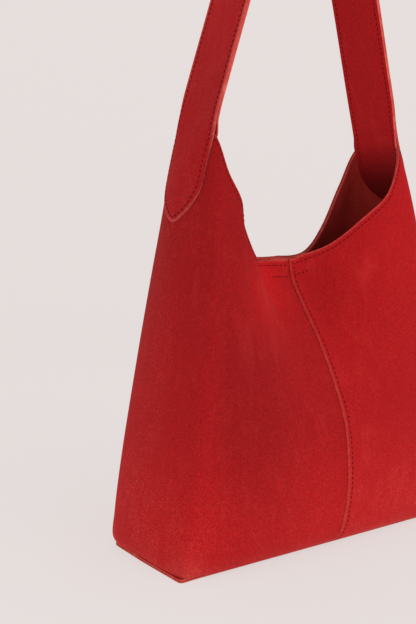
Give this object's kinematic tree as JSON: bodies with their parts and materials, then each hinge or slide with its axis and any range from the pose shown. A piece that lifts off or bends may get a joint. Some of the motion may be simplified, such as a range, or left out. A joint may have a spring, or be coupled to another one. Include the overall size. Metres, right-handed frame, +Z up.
{
  "type": "suede shoulder bag",
  "caption": "Soft suede shoulder bag with a flat rectangular base, a mouth pinched shut by hidden magnets, and one wide strap that rises from two horns.",
  "frame": {"origin": "middle of the base, on the surface that the bag stands on", "axes": "+X to the right seen from the front, +Y to the back, +Z up"},
  "size_m": [0.2901, 0.1358, 0.5183],
  "materials": {
    "suede": "red suede, brushed nap",
    "flesh_side": "unlined inner side of the suede",
    "tape": "woven reinforcing tape",
    "board": "stiff base sheet",
    "steel": "plated disc magnet"
  },
  "bodies": {
    "bag": {"left_side_panel": "suede", "right_side_panel": "suede", "base_panel": "suede", "base_board": "board", "left_outer_strap_end": "suede", "right_outer_strap_end": "suede", "left_inner_strap_end": "suede", "right_inner_strap_end": "suede", "left_strap_bend": "suede", "right_strap_bend": "suede"},
    "front_wall": {"left_front_panel": "suede", "right_front_panel": "suede", "front_rim_facing": "flesh_side", "front_magnet": "steel", "front_magnet_patch": "flesh_side"},
    "back_wall": {"left_back_panel": "suede", "right_back_panel": "suede", "back_rim_facing": "flesh_side", "back_magnet": "steel", "back_magnet_patch": "flesh_side"},
    "strap": {"strap_outer_layer": "suede", "strap_inner_layer": "suede", "strap_tape": "tape"}
  },
  "joints": [
    {"name": "front_opens", "type": "hinge", "parent": "bag", "child": "front_wall", "pos_m": [0, -0.0505, 0.0025], "axis": [1, 0, 0], "range_deg": [0, 14]},
    {"name": "back_opens", "type": "hinge", "parent": "bag", "child": "back_wall", "pos_m": [0, 0.05, 0.0025], "axis": [-1, 0, 0], "range_deg": [0, 14]},
    {"name": "strap_swing", "type": "hinge", "parent": "bag", "child": "strap", "pos_m": [0, 0, 0.342], "axis": [1, 0, 0], "range_deg": [-90, 90], "deforming": ["left_strap_bend", "right_strap_bend"]}
  ]
}
